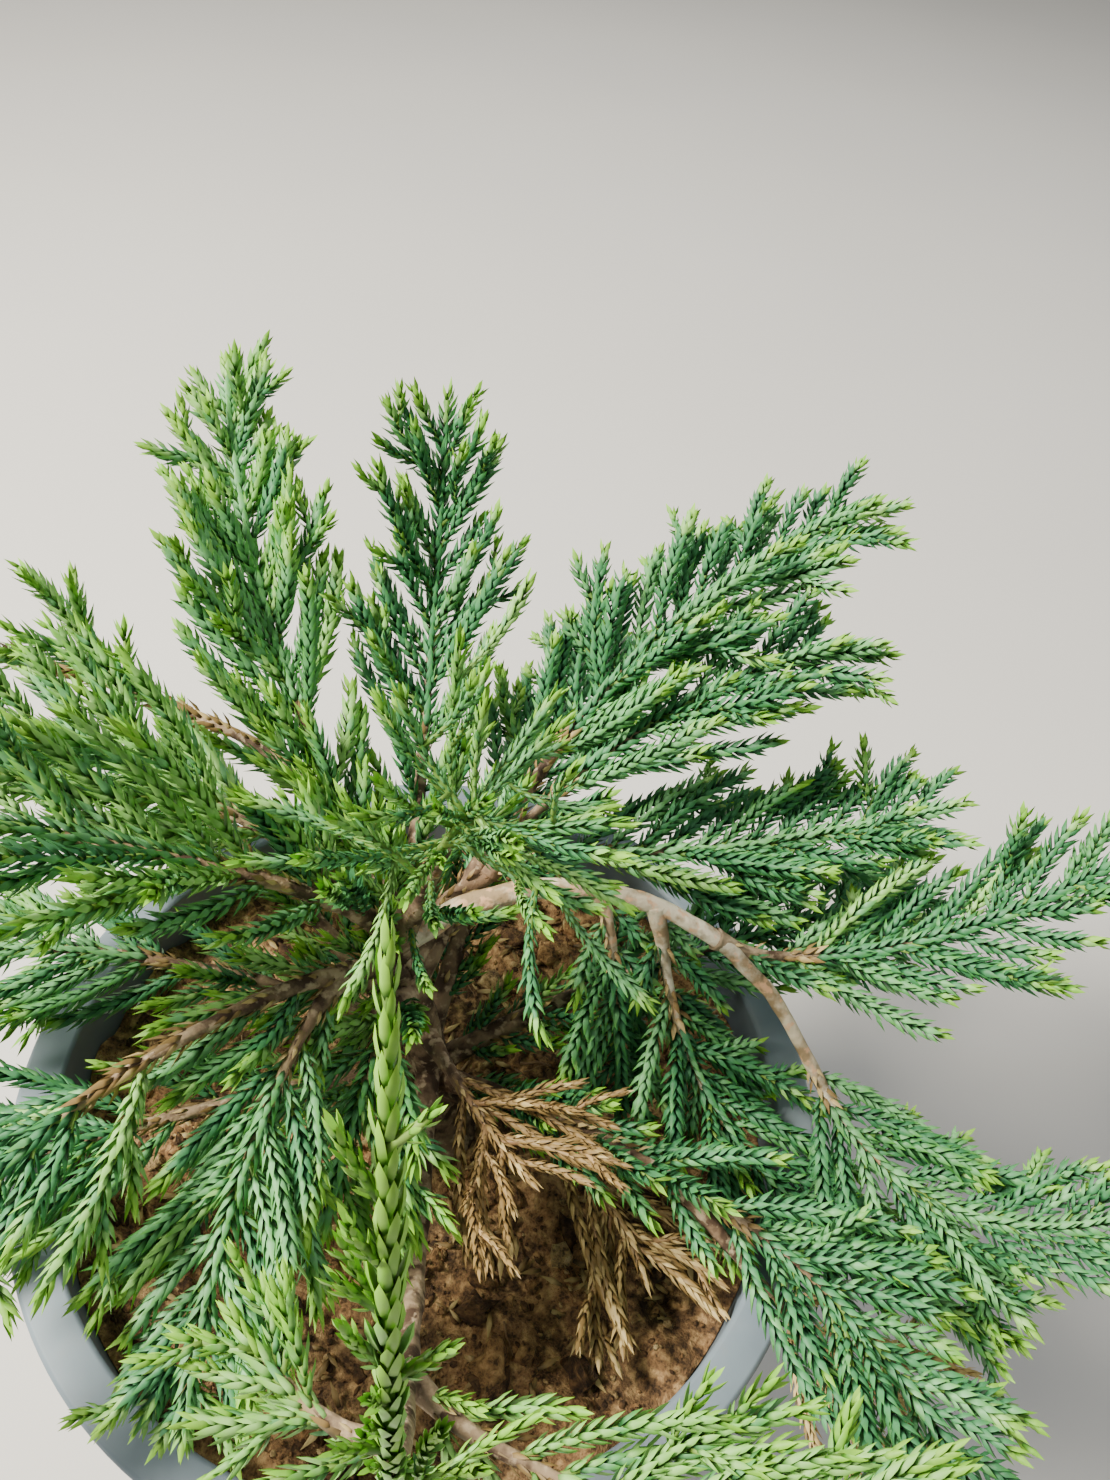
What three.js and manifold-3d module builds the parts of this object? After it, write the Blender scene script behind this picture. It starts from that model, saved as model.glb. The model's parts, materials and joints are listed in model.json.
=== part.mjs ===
import * as THREE from "three"
import { mergeVertices } from "three/addons/utils/BufferGeometryUtils.js"
import Module from "manifold-3d"

// Spreading conifer in a round nursery pot, in millimetres, +Z up.
// The origin is the centre of the pot's flat underside and the front faces -Y.

// Driving dimensions of the pot and the soil
const potHeight = 180
const rimRadius = 110
const rimWidth = 11
const rimDrop = 12
const rimEdge = 1
const ledgeDrop = 24
const ledgeDepth = 2
const baseRadius = 84
const footChamfer = 1.5
const floorThickness = 3
const wall = 2.2
const potFacets = 36
const drainHoles = 6
const drainRadius = 5
const drainRing = 64
const soilLevel = 160
const soilLump = 2.2
const soilRings = [84, 64, 44, 22]

// The clearance between pieces that meet
const gap = 0.3

// The trunk stands off the pot's centre, leans back to the left and flares at its foot
const trunkBase = [3, -3]
const trunkRadius = 7
const trunkTipRadius = 3.4
const trunkFlare = 5
const flareHeight = 5
const trunkSteps = 10
const trunkSides = 12
const trunkSweep = { azimuth: 132, turn: 10, rise: 87, settle: 70, length: 82 }

// Boughs taper from root to tip, and offshoots are the lesser ones that leave another bough
const boughRadius = 3.1
const boughTipRadius = 1.6
const offshootRadius = 2.1
const offshootTipRadius = 1.3
const boughSides = 5
const boughStep = 17

// Shoots: a slim core with needles drawn out of it in pairs, each pair across the last.
// Needles are about twice life size, and side shoots are longest near the root of their spray.
const stemRadius = 1.5
const coreRadius = 1.15
const coreTipRadius = 0.3
const shootSides = 4
const needleReach = 4.6
const needleForward = 11.5
const tipNeedleSize = 0.8
const whorlPitch = 8.2
const shootSpacing = 24
const shootLength = 44
const shootSpread = 48
const shootBend = 0.5
const firstShoot = 0.12
const shootZone = 0.72
const rollScatter = 0.35
const rosetteShoots = 8
const rosetteTurn = 2.4
const fewestShoots = 3
const shortestShoot = 3

// Each bough leaves its parent at a share of the parent's length and carries one spray of foliage.
// It sets out at azimuth (0 is +X, 90 is +Y) and rise, and turns and settles to the angle at its tip.
// The spray goes on from there with its own turn, settling rise and length, and its side shoots
// stand up from the level of the spray by the angle lift.
const boughs = [
  {
    name: "left_back", from: "trunk", at: 0.93,
    azimuth: 112, turn: 50, rise: 34, settle: 4, length: 72,
    spray: { turn: 20, settle: 0, length: 118, lift: 64 },
  },
  {
    name: "left", from: "trunk", at: 0.98,
    azimuth: 218, turn: -20, rise: 78, settle: 36, length: 46,
    spray: { turn: -22, settle: -8, length: 132, lift: 8 },
  },
  {
    name: "left_high", from: "left", at: 0.5,
    azimuth: 158, turn: 8, rise: 56, settle: 20, length: 26,
    spray: { turn: 6, settle: -12, length: 108, lift: 16 },
  },
  {
    name: "left_front", from: "trunk", at: 0.88,
    azimuth: 228, turn: -6, rise: 60, settle: 8, length: 50,
    spray: { turn: 26, settle: -36, length: 122, lift: -20 },
  },
  {
    name: "front_left", from: "left_front", at: 0.45,
    azimuth: 244, turn: 14, rise: 24, settle: 0, length: 20,
    spray: { turn: 12, settle: -52, length: 84, lift: -12 },
  },
  {
    name: "front_inner", from: "trunk", at: 0.8,
    azimuth: 258, turn: 4, rise: 50, settle: 16, length: 18,
    spray: { turn: 2, settle: -50, length: 50, lift: -10 },
  },
  {
    name: "front", from: "trunk", at: 0.42,
    azimuth: 277, turn: 1, rise: 2, settle: 72, length: 138,
    spray: { turn: 2, settle: 127, length: 138, lift: 12, shoots: 0.36 },
  },
  {
    name: "front_side_left", from: "front", at: 0.94,
    azimuth: 189, turn: -30, rise: -4, settle: 4, length: 10,
    spray: { turn: -24, settle: 0, length: 26, lift: 0, shoots: 0.45 },
  },
  {
    name: "front_side_right", from: "front", at: 0.7,
    azimuth: 322, turn: 18, rise: 4, settle: 10, length: 22,
    spray: { turn: 26, settle: 14, length: 96, lift: 24 },
  },
  {
    name: "right_front", from: "trunk", at: 1,
    azimuth: 42, turn: -92, rise: 20, settle: -40, length: 126,
    spray: { turn: 72, settle: 30, length: 104, lift: 4 },
  },
  {
    name: "right_hanging", from: "right_front", at: 0.42,
    azimuth: 304, turn: -6, rise: -24, settle: -60, length: 12,
    spray: { turn: 2, settle: -74, length: 64, lift: 0 },
  },
  {
    name: "right_low", from: "right_front", at: 0.54,
    azimuth: 300, turn: 4, rise: -50, settle: -60, length: 20,
    spray: { turn: 50, settle: 32, length: 138, lift: 0 },
  },
  {
    name: "right", from: "right_front", at: 0.68,
    azimuth: -9, turn: 20, rise: -30, settle: -6, length: 16,
    spray: { turn: 16, settle: 40, length: 106, lift: 6 },
  },
  {
    name: "right_back", from: "trunk", at: 0.9,
    azimuth: 72, turn: -56, rise: 36, settle: -10, length: 52,
    spray: { turn: 7, settle: 7, length: 120, lift: 14 },
  },
  {
    name: "right_back_high", from: "right_back", at: 0.6,
    azimuth: 62, turn: -14, rise: 38, settle: 20, length: 22,
    spray: { turn: -22, settle: -2, length: 104, lift: 18 },
  },
  {
    name: "back_right", from: "trunk", at: 0.8,
    azimuth: 66, turn: -4, rise: 42, settle: 20, length: 62,
    spray: { turn: -26, settle: 4, length: 140, lift: 20 },
  },
  {
    name: "back", from: "trunk", at: 0.86,
    azimuth: 98, turn: -2, rise: 24, settle: 14, length: 54,
    spray: { turn: 0, settle: 50, length: 112, lift: 24 },
  },
  {
    name: "back_low", from: "trunk", at: 0.5,
    azimuth: 82, turn: -6, rise: 36, settle: 8, length: 66,
    spray: { turn: -14, settle: -22, length: 114, lift: -6 },
  },
  {
    name: "back_left", from: "trunk", at: 0.76,
    azimuth: 128, turn: -4, rise: 38, settle: 18, length: 68,
    spray: { turn: -18, settle: 18, length: 132, lift: 26 },
  },
  {
    name: "back_left_low", from: "trunk", at: 0.44,
    azimuth: 142, turn: 4, rise: 36, settle: 4, length: 68,
    spray: { turn: 10, settle: -28, length: 110, lift: -8 },
  },
  {
    name: "left_low", from: "trunk", at: 0.54,
    azimuth: 180, turn: -2, rise: 36, settle: 4, length: 62,
    spray: { turn: 10, settle: -32, length: 114, lift: -10 },
  },
  {
    name: "front_left_low", from: "trunk", at: 0.36,
    azimuth: 210, turn: -4, rise: 36, settle: 4, length: 66,
    spray: { turn: -10, settle: -34, length: 98, lift: -8 },
  },
  {
    name: "front_right_low", from: "trunk", at: 0.36,
    azimuth: 338, turn: -4, rise: 30, settle: 2, length: 84,
    spray: { turn: -34, settle: -20, length: 96, lift: 0 },
  },
  {
    name: "back_right_low", from: "trunk", at: 0.4,
    azimuth: 26, turn: 0, rise: 34, settle: 4, length: 66,
    spray: { turn: 10, settle: -24, length: 108, lift: -6 },
  },
  {
    name: "top", from: "trunk", at: 1,
    azimuth: 10, turn: -40, rise: 74, settle: 78, length: 42,
    spray: { turn: 0, settle: 60, length: 30, lift: 0, spread: 76, whorled: true },
  },
  {
    name: "dry_centre", from: "trunk", at: 0.62,
    azimuth: 306, turn: 0, rise: 26, settle: 12, length: 18,
    spray: { turn: 10, settle: 6, length: 34, lift: 10, dry: true },
  },
  {
    name: "dry_inner", from: "trunk", at: 0.3,
    azimuth: 344, turn: -8, rise: 22, settle: -8, length: 34,
    spray: { turn: -40, settle: -14, length: 44, lift: 0, dry: true },
  },
  {
    name: "dry_right", from: "front_right_low", at: 0.9,
    azimuth: 320, turn: 10, rise: -16, settle: -34, length: 34,
    spray: { turn: 16, settle: -10, length: 50, lift: -8, dry: true },
  },
]

const potPlastic = new THREE.MeshStandardMaterial({ color: 0x3b4148, roughness: 0.6, metalness: 0 })
const soilEarth = new THREE.MeshStandardMaterial({ color: 0x5b3826, roughness: 0.95, metalness: 0 })
const bark = new THREE.MeshStandardMaterial({ color: 0x8a6248, roughness: 0.85, metalness: 0 })
const needleGreen = new THREE.MeshStandardMaterial({ color: 0x3f7a4a, roughness: 0.7, metalness: 0 })
const needleStraw = new THREE.MeshStandardMaterial({ color: 0xb09468, roughness: 0.85, metalness: 0 })

const wasm = await Module()
wasm.setup()

// Seeded draws, the same on every run
class Draws {
  constructor(seed) {
    this.state = (seed * 7919 + 104729) % 4294967296
    this.next()
    this.next()
  }

  next() {
    this.state = (this.state * 1664525 + 1013904223) % 4294967296
    return this.state / 4294967296
  }

  between(low, high) {
    return low + (high - low) * this.next()
  }
}

function toSolid(geometry) {
  geometry.deleteAttribute("normal")
  geometry.deleteAttribute("uv")
  const merged = mergeVertices(geometry, 1e-5)
  const vertProperties = new Float32Array(merged.attributes.position.array)
  const triVerts = new Uint32Array(merged.index.array)
  return new wasm.Manifold(new wasm.Mesh({ numProp: 3, vertProperties, triVerts }))
}

function toGeometry(solid) {
  const mesh = solid.getMesh()
  const geometry = new THREE.BufferGeometry()
  geometry.setAttribute("position", new THREE.BufferAttribute(mesh.vertProperties, mesh.numProp))
  geometry.setIndex(new THREE.BufferAttribute(mesh.triVerts, 1))
  geometry.computeVertexNormals()
  return geometry
}

function largestBody(solid) {
  const bodies = solid.decompose()
  return bodies.reduce((best, body) => (body.volume() > best.volume() ? body : best))
}

// Paths

function heading(azimuth, rise) {
  const a = THREE.MathUtils.degToRad(azimuth)
  const e = THREE.MathUtils.degToRad(rise)
  return new THREE.Vector3(Math.cos(e) * Math.cos(a), Math.cos(e) * Math.sin(a), Math.sin(e))
}

function sweep(start, { azimuth, turn, rise, settle, length }, steps) {
  const path = [start.clone()]
  for (let i = 0; i < steps; i++) {
    const share = (i + 0.5) / steps
    const step = heading(azimuth + turn * share, rise + (settle - rise) * share)
    path.push(path[i].clone().addScaledVector(step, length / steps))
  }
  return path
}

function pointOn(path, share) {
  const place = share * (path.length - 1)
  const i = Math.min(Math.floor(place), path.length - 2)
  return path[i].clone().lerp(path[i + 1], place - i)
}

function tangentAt(path, i) {
  const before = path[Math.max(i - 1, 0)]
  const after = path[Math.min(i + 1, path.length - 1)]
  return after.clone().sub(before).normalize()
}

// Two directions across the path at each of its points, carried along without twist
function framesAlong(path) {
  const frames = []
  let side = new THREE.Vector3(0, 0, 1).cross(tangentAt(path, 0))
  if (side.length() < 0.1) {
    side = new THREE.Vector3(1, 0, 0)
  }
  for (let i = 0; i < path.length; i++) {
    const tangent = tangentAt(path, i)
    side = side.clone().addScaledVector(tangent, -side.dot(tangent)).normalize()
    frames.push({ tangent, side, across: side.clone().cross(tangent) })
  }
  return frames
}

// A closed limb: a cylinder whose rings are carried onto the path and sized by radiusAt.
// With needles, every second corner of each ring between the ends is drawn out to a forward point.
function limb(path, radiusAt, sides, needles) {
  const steps = path.length - 1
  const frames = framesAlong(path)
  const geometry = new THREE.CylinderGeometry(1, 1, 1, sides, steps)
  const position = geometry.attributes.position
  for (let v = 0; v < position.count; v++) {
    const x = position.getX(v)
    const z = position.getZ(v)
    const ring = Math.round((position.getY(v) + 0.5) * steps)
    const corner = Math.round((Math.atan2(x, z) / (2 * Math.PI)) * sides + sides) % sides
    const { tangent, side, across } = frames[ring]
    const outward = side.clone().multiplyScalar(x).addScaledVector(across, z)
    const point = path[ring].clone()
    if (needles && ring > 0 && ring < steps && (ring + corner) % 2 === 0) {
      const size = needles(ring / steps)
      point.addScaledVector(outward, needleReach * size).addScaledVector(tangent, needleForward * size)
    } else {
      point.addScaledVector(outward, radiusAt(ring / steps))
    }
    position.setXYZ(v, point.x, point.y, point.z)
  }
  if (needles) {
    foldBetweenNeedles(geometry, sides, steps)
  }
  return geometry
}

// Each four-sided patch of the limb is folded along the line between its two corners on the core
function foldBetweenNeedles(geometry, sides, steps) {
  const index = geometry.index
  for (let patch = 0; patch < sides * steps; patch++) {
    const column = Math.floor(patch / steps)
    const ringFromTop = patch % steps
    const i = patch * 6
    if ((column + steps - ringFromTop) % 2 === 1) {
      const [a, b, d, c] = [index.getX(i), index.getX(i + 1), index.getX(i + 2), index.getX(i + 4)]
      const folded = [a, b, c, a, c, d]
      folded.forEach((vertex, k) => index.setX(i + k, vertex))
    }
  }
}

function taper(root, tip) {
  return (share) => root + (tip - root) * share
}

// Spaces already taken, as thick line segments, so that every spray keeps to its own

const taken = []

function take(owner, path, radius) {
  for (let i = 0; i < path.length - 1; i++) {
    taken.push({ owner, line: new THREE.Line3(path[i], path[i + 1]), radius })
  }
}

function isFree(owner, point, radius) {
  const nearest = new THREE.Vector3()
  return taken.every((space) => {
    if (space.owner === owner) {
      return true
    }
    space.line.closestPointToPoint(point, true, nearest)
    return nearest.distanceTo(point) > space.radius + radius + gap
  })
}

function clearOfPot(point) {
  const radius = Math.hypot(point.x, point.y)
  const soilTop = soilLevel + 1.5 * soilLump
  const aboveSoil = radius < mouthRadius - needleReach && point.z > soilTop + needleReach
  const aboveRim = point.z > potHeight + needleReach + gap
  const outside = radius > rimRadius + needleReach + gap
  return aboveSoil || aboveRim || outside
}

// The part of a path, from its root, that stays in free space
function freeStretch(owner, path, skip) {
  let last = skip
  while (last < path.length - 1) {
    const next = path[last + 1]
    const middle = path[last].clone().lerp(next, 0.5)
    const free = [middle, next].every((p) => isFree(owner, p, needleReach) && clearOfPot(p))
    if (!free) {
      break
    }
    last += 1
  }
  return path.slice(0, last + 1)
}

// Limbs

const trunkStart = new THREE.Vector3(trunkBase[0], trunkBase[1], soilLevel + gap)
const trunkPath = sweep(trunkStart, trunkSweep, trunkSteps)

function trunkRadiusAt(share) {
  const height = share * trunkSweep.length
  const flare = trunkFlare * Math.exp(-height / flareHeight)
  return taper(trunkRadius, trunkTipRadius)(share) + flare
}

const limbs = { trunk: { path: trunkPath, radiusAt: trunkRadiusAt, sides: trunkSides } }

for (const bough of boughs) {
  const parent = limbs[bough.from]
  const start = pointOn(parent.path, bough.at)
  const path = sweep(start, bough, Math.max(2, Math.round(bough.length / boughStep)))
  const onTrunk = bough.from === "trunk"
  const radiusAt = onTrunk
    ? taper(boughRadius, boughTipRadius)
    : taper(offshootRadius, offshootTipRadius)
  limbs[bough.name] = { path, radiusAt, sides: boughSides }
}

for (const [name, { path, radiusAt }] of Object.entries(limbs)) {
  take(name, path, radiusAt(0.5))
}

function limbSolid({ path, radiusAt, sides }, extra = 0) {
  return toSolid(limb(path, (share) => radiusAt(share) + extra, sides))
}

// The trunk's foot is levelled where it stands on the soil
function trunkSolid(extra = 0) {
  const size = 4 * trunkRadius
  const below = new THREE.BoxGeometry(size, size, size)
  below.translate(trunkStart.x, trunkStart.y, trunkStart.z - extra - size / 2)
  return limbSolid(limbs.trunk, extra).subtract(toSolid(below))
}

// Every bough is cut clear of its parent and of the boughs made before it
function boughSolids() {
  const solids = {}
  const made = [trunkSolid(gap)]
  for (const { name } of boughs) {
    let solid = limbSolid(limbs[name])
    for (const other of made) {
      solid = solid.subtract(other)
    }
    solids[name] = largestBody(solid)
    made.push(limbSolid(limbs[name], gap))
  }
  return solids
}

// Foliage

function needleSize(share) {
  return share < 0.85 ? 1 : tipNeedleSize
}

function sprayAxis({ azimuth, turn, settle, name, spray }) {
  const path = limbs[name].path
  const end = path[path.length - 1]
  const start = end.clone().addScaledVector(tangentAt(path, path.length - 1), gap)
  const run = {
    azimuth: azimuth + turn,
    turn: spray.turn,
    rise: settle,
    settle: spray.settle,
    length: spray.length,
  }
  return sweep(start, run, Math.round(spray.length / whorlPitch))
}

// A side shoot sets out across its axis and bends forward along it
function sideShoot(axis, share, roll, spread, length) {
  const start = pointOn(axis, share)
  const ring = Math.min(Math.floor(share * (axis.length - 1)) + 1, axis.length - 1)
  const along = tangentAt(axis, ring)
  const level = new THREE.Vector3(0, 0, 1).cross(along).normalize()
  const upward = along.clone().cross(level)
  const across = level.multiplyScalar(Math.cos(roll)).addScaledVector(upward, Math.sin(roll))
  const steps = Math.max(shortestShoot, Math.round(length / whorlPitch))
  const path = [start]
  for (let i = 0; i < steps; i++) {
    const angle = THREE.MathUtils.degToRad(spread * (1 - (shootBend * i) / steps))
    const step = along.clone().multiplyScalar(Math.cos(angle)).addScaledVector(across, Math.sin(angle))
    path.push(path[i].clone().addScaledVector(step, length / steps))
  }
  return path
}

function rollOf(k, { lift, whorled }, draws) {
  const scatter = draws.between(-rollScatter, rollScatter)
  if (whorled) {
    return k * rosetteTurn + scatter
  }
  const up = THREE.MathUtils.degToRad(lift)
  return k % 2 === 0 ? up + scatter : Math.PI - up + scatter
}

function shootRolls(spray, draws) {
  const count = spray.whorled
    ? rosetteShoots
    : Math.max(fewestShoots, Math.round(spray.length / shootSpacing))
  return Array.from({ length: count }, (_, k) => ({
    share: firstShoot + (shootZone * (k + draws.between(0.2, 0.8))) / count,
    roll: rollOf(k, spray, draws),
    vigour: draws.between(0.85, 1.1),
  }))
}

// One spray: its stem, with needles, and the side shoots that find free space
function foliageSolid({ name, spray }, axis, draws) {
  let solid = toSolid(limb(axis, taper(stemRadius, coreTipRadius), shootSides, needleSize))
  for (const { share, roll, vigour } of shootRolls(spray, draws)) {
    const length = shootLength * (spray.shoots ?? 1) * (1.08 - 0.6 * share) * vigour
    const shoot = sideShoot(axis, share, roll, spray.spread ?? shootSpread, length)
    const side = freeStretch(name, shoot, 1)
    if (side.length > shortestShoot) {
      take(name, side, needleReach)
      solid = solid.add(toSolid(limb(side, taper(coreRadius, coreTipRadius), shootSides, needleSize)))
    }
  }
  return largestBody(solid)
}

// Pot and soil

function lathe(profile) {
  const points = profile.map(([radius, height]) => new THREE.Vector2(radius, height))
  const geometry = new THREE.LatheGeometry(points, potFacets)
  geometry.rotateX(Math.PI / 2)
  return geometry
}

const mouthRadius = rimRadius - rimWidth
const ledgeTop = potHeight - ledgeDrop
const ledgeFoot = ledgeTop - ledgeDepth

function potSolid() {
  const profile = [
    [0, 0],
    [baseRadius - footChamfer, 0],
    [baseRadius, footChamfer],
    [mouthRadius + wall - ledgeDepth, ledgeFoot],
    [mouthRadius + wall, ledgeTop],
    [mouthRadius + wall, potHeight - wall],
    [rimRadius - wall, potHeight - wall],
    [rimRadius - wall, potHeight - rimDrop],
    [rimRadius, potHeight - rimDrop],
    [rimRadius, potHeight - rimEdge],
    [rimRadius - rimEdge, potHeight],
    [mouthRadius + rimEdge, potHeight],
    [mouthRadius, potHeight - rimEdge],
    [mouthRadius, ledgeTop],
    [mouthRadius - ledgeDepth, ledgeFoot],
    [baseRadius - wall, floorThickness],
    [0, floorThickness],
  ]
  let solid = toSolid(lathe(profile))
  for (let i = 0; i < drainHoles; i++) {
    const angle = (2 * Math.PI * i) / drainHoles
    const hole = new THREE.CylinderGeometry(drainRadius, drainRadius, 3 * floorThickness, 8)
    hole.rotateX(Math.PI / 2)
    hole.translate(drainRing * Math.cos(angle), drainRing * Math.sin(angle), 0)
    solid = solid.subtract(toSolid(hole))
  }
  return solid
}

function lumpAt(x, y) {
  return Math.sin(x * 0.13 + 1) * Math.cos(y * 0.17) + 0.5 * Math.sin(x * 0.31 + y * 0.27)
}

// The soil fills the pot, and its lumpy top is level under the trunk
function soilGeometry() {
  const edge = mouthRadius - ledgeDepth - gap
  const profile = [
    [0, floorThickness + gap],
    [baseRadius - wall - gap, floorThickness + gap],
    [edge, ledgeFoot - gap],
    [edge, soilLevel - soilLump],
  ]
  soilRings.forEach((radius) => profile.push([radius, soilLevel]))
  profile.push([0, soilLevel])
  const geometry = lathe(profile)
  const position = geometry.attributes.position
  const levelRadius = soilRings[soilRings.length - 1]
  for (let v = 0; v < position.count; v++) {
    const x = position.getX(v)
    const y = position.getY(v)
    if (position.getZ(v) > soilLevel - gap && Math.hypot(x, y) > levelRadius + gap) {
      position.setZ(v, soilLevel + soilLump * lumpAt(x, y))
    }
  }
  return geometry
}

// Assembly

const group = new THREE.Group()

function addPart(name, geometry, material) {
  const finish = material.clone()
  finish.flatShading = true
  const mesh = new THREE.Mesh(geometry, finish)
  mesh.name = name
  group.add(mesh)
}

addPart("pot", toGeometry(potSolid()), potPlastic)
addPart("soil", toGeometry(toSolid(soilGeometry())), soilEarth)
addPart("trunk", toGeometry(trunkSolid()), bark)

const solidBoughs = boughSolids()
const axes = {}
for (const bough of boughs) {
  addPart(`bough_${bough.name}`, toGeometry(solidBoughs[bough.name]), bark)
  axes[bough.name] = freeStretch(bough.name, sprayAxis(bough), 1)
  take(bough.name, axes[bough.name], needleReach)
}
boughs.forEach((bough, i) => {
  const material = bough.spray.dry ? needleStraw : needleGreen
  const solid = foliageSolid(bough, axes[bough.name], new Draws(i + 1))
  addPart(`foliage_${bough.name}`, toGeometry(solid), material)
})

export default group
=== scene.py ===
import json
import math

import bpy
import numpy as np
from mathutils import Matrix

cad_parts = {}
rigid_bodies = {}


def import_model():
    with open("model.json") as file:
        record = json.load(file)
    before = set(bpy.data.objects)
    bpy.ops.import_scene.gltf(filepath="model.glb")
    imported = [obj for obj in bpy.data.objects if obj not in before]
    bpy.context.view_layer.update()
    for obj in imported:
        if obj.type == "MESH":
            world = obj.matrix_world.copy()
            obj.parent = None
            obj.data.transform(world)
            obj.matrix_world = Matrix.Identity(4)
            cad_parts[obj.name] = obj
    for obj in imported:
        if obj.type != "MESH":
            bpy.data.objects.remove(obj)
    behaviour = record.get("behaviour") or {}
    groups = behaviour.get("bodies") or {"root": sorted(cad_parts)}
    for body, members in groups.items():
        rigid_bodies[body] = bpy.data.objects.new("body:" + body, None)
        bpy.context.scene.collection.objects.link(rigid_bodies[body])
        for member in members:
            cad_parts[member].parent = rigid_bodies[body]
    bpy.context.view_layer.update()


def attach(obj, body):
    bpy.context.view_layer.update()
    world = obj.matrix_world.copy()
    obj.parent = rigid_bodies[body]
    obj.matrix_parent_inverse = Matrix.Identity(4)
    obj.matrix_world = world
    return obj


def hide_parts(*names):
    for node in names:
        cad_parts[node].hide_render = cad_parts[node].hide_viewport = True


# Spreading conifer in a nursery pot. Growth is worked out in millimetres and made in metres.

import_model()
millimetre = 0.001


# Shader maths: a Link is one socket of a material, and a sum or product of links adds a Math node

class Link:
    def __init__(self, finish, socket):
        self.finish = finish
        self.socket = socket

    def join(self, operation, first, second):
        return self.finish.node("Math", {"operation": operation}, {0: first, 1: second})

    def __add__(self, other):
        return self.join("ADD", self, other)

    def __mul__(self, other):
        return self.join("MULTIPLY", self, other)

    __radd__, __rmul__ = __add__, __mul__


class Finish:
    def __init__(self, name):
        self.material = bpy.data.materials.new(name)
        self.material.use_nodes = True
        self.tree = self.material.node_tree
        self.surface = self.tree.nodes["Principled BSDF"]

    def node(self, kind, settings=None, inputs=None, output=0):
        node = self.tree.nodes.new("ShaderNode" + kind)
        for name, value in (settings or {}).items():
            if name == "stops":
                self.setStops(node.color_ramp, value)
            else:
                setattr(node, name, value)
        for name, value in (inputs or {}).items():
            self.feed(node.inputs[name], value)
        return Link(self, node.outputs[output])

    def setStops(self, ramp, stops):
        for element, (place, level) in zip(ramp.elements, (stops[0], stops[-1])):
            element.position = place
            element.color = (level, level, level, 1)
        for place, level in stops[1:-1]:
            ramp.elements.new(place).color = (level, level, level, 1)

    def feed(self, socket, value):
        if isinstance(value, Link):
            self.tree.links.new(value.socket, socket)
        else:
            socket.default_value = value

    def place(self):
        return self.node("TexCoord", output=3)

    def noise(self, scale, detail=4, where=None):
        vector = where or self.place()
        return self.node("TexNoise", {}, {"Vector": vector, "Scale": scale, "Detail": detail})

    def stretched(self, where, size):
        return self.node("Mapping", {}, {"Vector": where, "Scale": size})

    def steps(self, value, *stops):
        return self.node("ValToRGB", {"stops": stops}, {"Fac": value})

    def blend(self, share, first, second):
        return self.node("Mix", {"data_type": "RGBA"}, {0: share, 6: first, 7: second}, output=2)

    def fade(self, value, low, high, first, second):
        return self.blend(self.steps(value, (low, 0), (high, 1)), first, second)

    def colour(self, value):
        self.feed(self.surface.inputs["Base Color"], value)

    def rough(self, value):
        self.feed(self.surface.inputs["Roughness"], value)

    def bump(self, height, distance, strength=1.0):
        inputs = {"Height": height, "Distance": distance, "Strength": strength}
        self.feed(self.surface.inputs["Normal"], self.node("Bump", {}, inputs))


def shade(code):  # a colour as painters write it, RRGGBB
    levels = [int(code[i:i + 2], 16) / 255 for i in (0, 2, 4)]
    return (*[((c + 0.055) / 1.055) ** 2.4 if c > 0.04045 else c / 12.92 for c in levels], 1)


# Mesh making

def deselectAll():
    if bpy.context.mode != "OBJECT":
        bpy.ops.object.mode_set(mode="OBJECT")
    bpy.ops.object.select_all(action="DESELECT")


class Shapes:  # gathers many small shapes into one mesh, in millimetres
    def __init__(self):
        self.points, self.faces, self.slots, self.count = [], [], [], 0
        self.values = {}

    def add(self, points, faces, slot, **values):
        points = np.asarray(points, float).reshape(-1, 3)
        self.points.append(points)
        self.addTo(self.count, faces, slot)
        self.count += len(points)
        for name, value in values.items():
            self.values.setdefault(name, []).append(np.ravel(value))

    def addTo(self, start, faces, slot):  # more faces on points that were added before
        faces = np.asarray(faces, int)
        self.faces.append(faces + start)
        self.slots.append(np.resize(slot, len(faces)))

    def build(self, name, materials, sharpest=None):
        mesh = bpy.data.meshes.new(name)
        points = np.concatenate(self.points) * millimetre
        mesh.vertices.add(len(points))
        mesh.vertices.foreach_set("co", points.ravel())
        corners = np.concatenate([f.ravel() for f in self.faces])
        sizes = np.concatenate([np.full(len(f), f.shape[1]) for f in self.faces])
        mesh.loops.add(len(corners))
        mesh.loops.foreach_set("vertex_index", corners)
        mesh.polygons.add(len(sizes))
        mesh.polygons.foreach_set("loop_start", np.concatenate([[0], np.cumsum(sizes)[:-1]]))
        mesh.polygons.foreach_set("material_index", np.concatenate(self.slots))
        mesh.update(calc_edges=True)
        for key, value in self.values.items():
            mesh.attributes.new(key, "FLOAT", "POINT").data.foreach_set("value", np.concatenate(value))
        mesh.validate()
        mesh.shade_smooth()
        if sharpest:
            mesh.set_sharp_from_angle(angle=math.radians(sharpest))
        for material in materials:
            mesh.materials.append(material)
        piece = bpy.data.objects.new(name, mesh)
        bpy.context.scene.collection.objects.link(piece)
        print(name, "faces", len(sizes))
        return piece


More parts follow.
